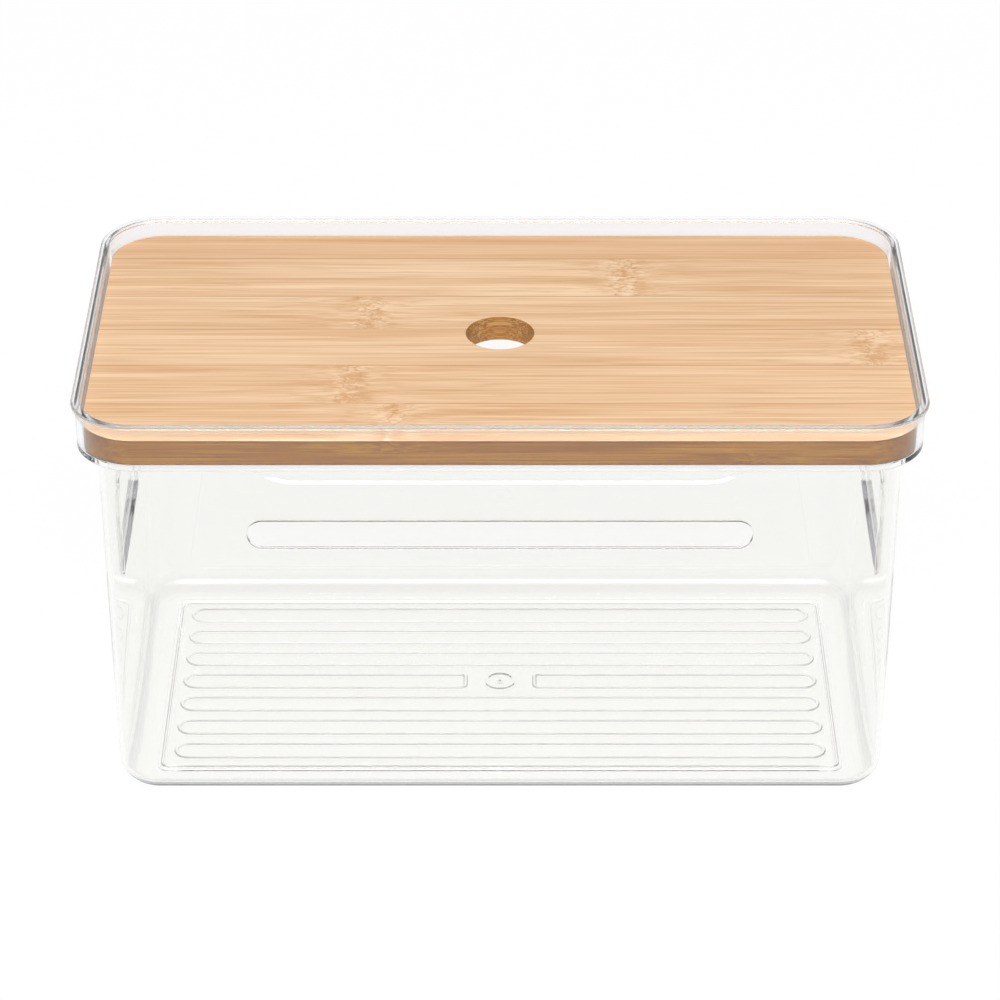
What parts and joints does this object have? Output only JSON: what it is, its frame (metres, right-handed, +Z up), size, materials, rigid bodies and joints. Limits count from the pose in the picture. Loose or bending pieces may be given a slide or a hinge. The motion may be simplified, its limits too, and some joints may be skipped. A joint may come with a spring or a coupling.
{
  "type": "storage box with lid",
  "caption": "Clear rectangular storage box with a stepped rim, a slotted front wall and side finger grips, closed by a drop-in bamboo lid with a finger hole.",
  "frame": {"origin": "under the middle of the box, on the surface that it stands on", "axes": "+X along the box's length, -Y towards the slotted front wall, +Z up"},
  "size_m": [0.3028, 0.165, 0.162],
  "materials": {
    "clear_plastic": "clear, glossy, moulded",
    "bamboo": "sanded, satin lacquer"
  },
  "bodies": {
    "box": {"clear_box": "clear_plastic"},
    "lid": {"lid_face_strip_1": "bamboo", "lid_face_strip_2": "bamboo", "lid_face_strip_3": "bamboo", "lid_face_strip_4": "bamboo", "lid_face_strip_5": "bamboo", "lid_face_strip_6": "bamboo", "lid_back_strip_1": "bamboo", "lid_back_strip_2": "bamboo", "lid_back_strip_3": "bamboo", "lid_back_strip_4": "bamboo", "lid_back_strip_5": "bamboo", "lid_back_strip_6": "bamboo"}
  },
  "joints": [
    {"name": "lid_lift", "type": "slide", "parent": "box", "child": "lid", "axis": [0, 0, 1], "range_m": [0, 0.12]}
  ]
}
